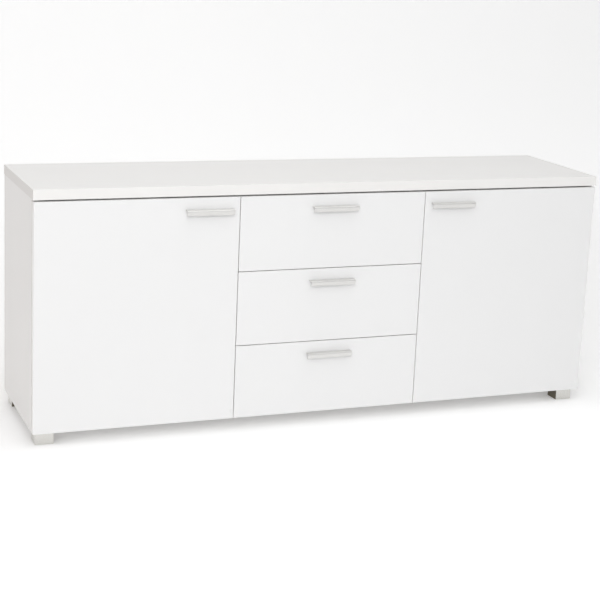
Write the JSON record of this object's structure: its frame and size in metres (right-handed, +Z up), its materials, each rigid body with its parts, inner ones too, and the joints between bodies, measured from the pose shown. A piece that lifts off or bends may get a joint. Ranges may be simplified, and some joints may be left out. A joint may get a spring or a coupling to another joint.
{
  "type": "sideboard buffet",
  "caption": "Low sideboard with a door at each side, a column of drawers between them, lip handles and short block feet.",
  "frame": {"origin": "centre of the bounding box, handles included, on the floor plane under the feet", "axes": "+X along the width to the right as seen from the front, +Y to the back, +Z up"},
  "size_m": [1.5, 0.376, 0.622],
  "materials": {
    "white_board": "white foil-faced board, satin",
    "silver_foot": "satin die-cast block",
    "drawer_board": "white foil-faced board, matt",
    "backing_sheet": "white lacquered hardboard",
    "beech_dowel": "bare beech",
    "satin_aluminium": "matt silver die-casting",
    "bright_steel": "zinc-plated",
    "zinc": "die-cast zinc",
    "clear_bumper": "clear soft bumper"
  },
  "bodies": {
    "carcass": {"top_panel": "white_board", "side_panel_left": "white_board", "side_panel_right": "white_board", "bottom_panel": "white_board", "partition_left": "white_board", "partition_right": "white_board", "back_left": "backing_sheet", "back_middle": "backing_sheet", "back_right": "backing_sheet", "shelf_left": "white_board", "shelf_right": "white_board", "shelf_pins": "bright_steel", "foot_front_left": "silver_foot", "foot_front_right": "silver_foot", "foot_back_left": "silver_foot", "foot_back_right": "silver_foot", "foot_screws": "bright_steel", "cam_locks": "zinc", "cam_bolts": "bright_steel", "dowels": "beech_dowel", "hinge_arms_left": "bright_steel", "hinge_arms_right": "bright_steel", "euro_screws": "bright_steel", "runner_case_members": "bright_steel", "bumpers": "clear_bumper"},
    "hinge_links_left": {"hinge_links_left": "bright_steel"},
    "door_left": {"door_left": "white_board", "door_left_handle": "satin_aluminium", "door_left_hinge_cups": "bright_steel", "door_left_screws": "bright_steel"},
    "hinge_links_right": {"hinge_links_right": "bright_steel"},
    "door_right": {"door_right": "white_board", "door_right_handle": "satin_aluminium", "door_right_hinge_cups": "bright_steel", "door_right_screws": "bright_steel"},
    "slides_top": {"drawer_top_slides": "bright_steel"},
    "drawer_top": {"drawer_top_front": "white_board", "drawer_top_sides": "drawer_board", "drawer_top_back": "drawer_board", "drawer_top_bottom": "backing_sheet", "drawer_top_handle": "satin_aluminium", "drawer_top_fixings": "bright_steel", "drawer_top_runners": "bright_steel"},
    "slides_mid": {"drawer_mid_slides": "bright_steel"},
    "drawer_mid": {"drawer_mid_front": "white_board", "drawer_mid_sides": "drawer_board", "drawer_mid_back": "drawer_board", "drawer_mid_bottom": "backing_sheet", "drawer_mid_handle": "satin_aluminium", "drawer_mid_fixings": "bright_steel", "drawer_mid_runners": "bright_steel"},
    "slides_low": {"drawer_low_slides": "bright_steel"},
    "drawer_low": {"drawer_low_front": "white_board", "drawer_low_sides": "drawer_board", "drawer_low_back": "drawer_board", "drawer_low_bottom": "backing_sheet", "drawer_low_handle": "satin_aluminium", "drawer_low_fixings": "bright_steel", "drawer_low_runners": "bright_steel"}
  },
  "joints": [
    {"name": "hinge_links_left_turn", "type": "hinge", "parent": "carcass", "child": "hinge_links_left", "pos_m": [-0.717, -0.1513, 0.313], "axis": [0, 0, -1], "range_deg": [-21, 0]},
    {"name": "door_left_swing", "type": "hinge", "parent": "hinge_links_left", "child": "door_left", "pos_m": [-0.7386, -0.1616, 0.313], "axis": [0, 0, -1], "range_deg": [0, 116]},
    {"name": "hinge_links_right_turn", "type": "hinge", "parent": "carcass", "child": "hinge_links_right", "pos_m": [0.717, -0.1513, 0.313], "axis": [0, 0, 1], "range_deg": [-21, 0]},
    {"name": "door_right_swing", "type": "hinge", "parent": "hinge_links_right", "child": "door_right", "pos_m": [0.7386, -0.1616, 0.313], "axis": [0, 0, 1], "range_deg": [0, 116]},
    {"name": "drawer_top_slide", "type": "slide", "parent": "carcass", "child": "drawer_top", "axis": [0, -1, 0], "range_m": [0, 0.29]},
    {"name": "slides_top_slide", "type": "slide", "parent": "carcass", "child": "slides_top", "axis": [0, -1, 0], "range_m": [0, 0.145]},
    {"name": "drawer_mid_slide", "type": "slide", "parent": "carcass", "child": "drawer_mid", "axis": [0, -1, 0], "range_m": [0, 0.29]},
    {"name": "slides_mid_slide", "type": "slide", "parent": "carcass", "child": "slides_mid", "axis": [0, -1, 0], "range_m": [0, 0.145]},
    {"name": "drawer_low_slide", "type": "slide", "parent": "carcass", "child": "drawer_low", "axis": [0, -1, 0], "range_m": [0, 0.29]},
    {"name": "slides_low_slide", "type": "slide", "parent": "carcass", "child": "slides_low", "axis": [0, -1, 0], "range_m": [0, 0.145]}
  ],
  "couplings": [
    {"joint": "hinge_links_left_turn", "follows": "door_left_swing", "ratio": -0.18033},
    {"joint": "hinge_links_right_turn", "follows": "door_right_swing", "ratio": -0.18033},
    {"joint": "slides_top_slide", "follows": "drawer_top_slide", "ratio": 0.5},
    {"joint": "slides_mid_slide", "follows": "drawer_mid_slide", "ratio": 0.5},
    {"joint": "slides_low_slide", "follows": "drawer_low_slide", "ratio": 0.5}
  ]
}
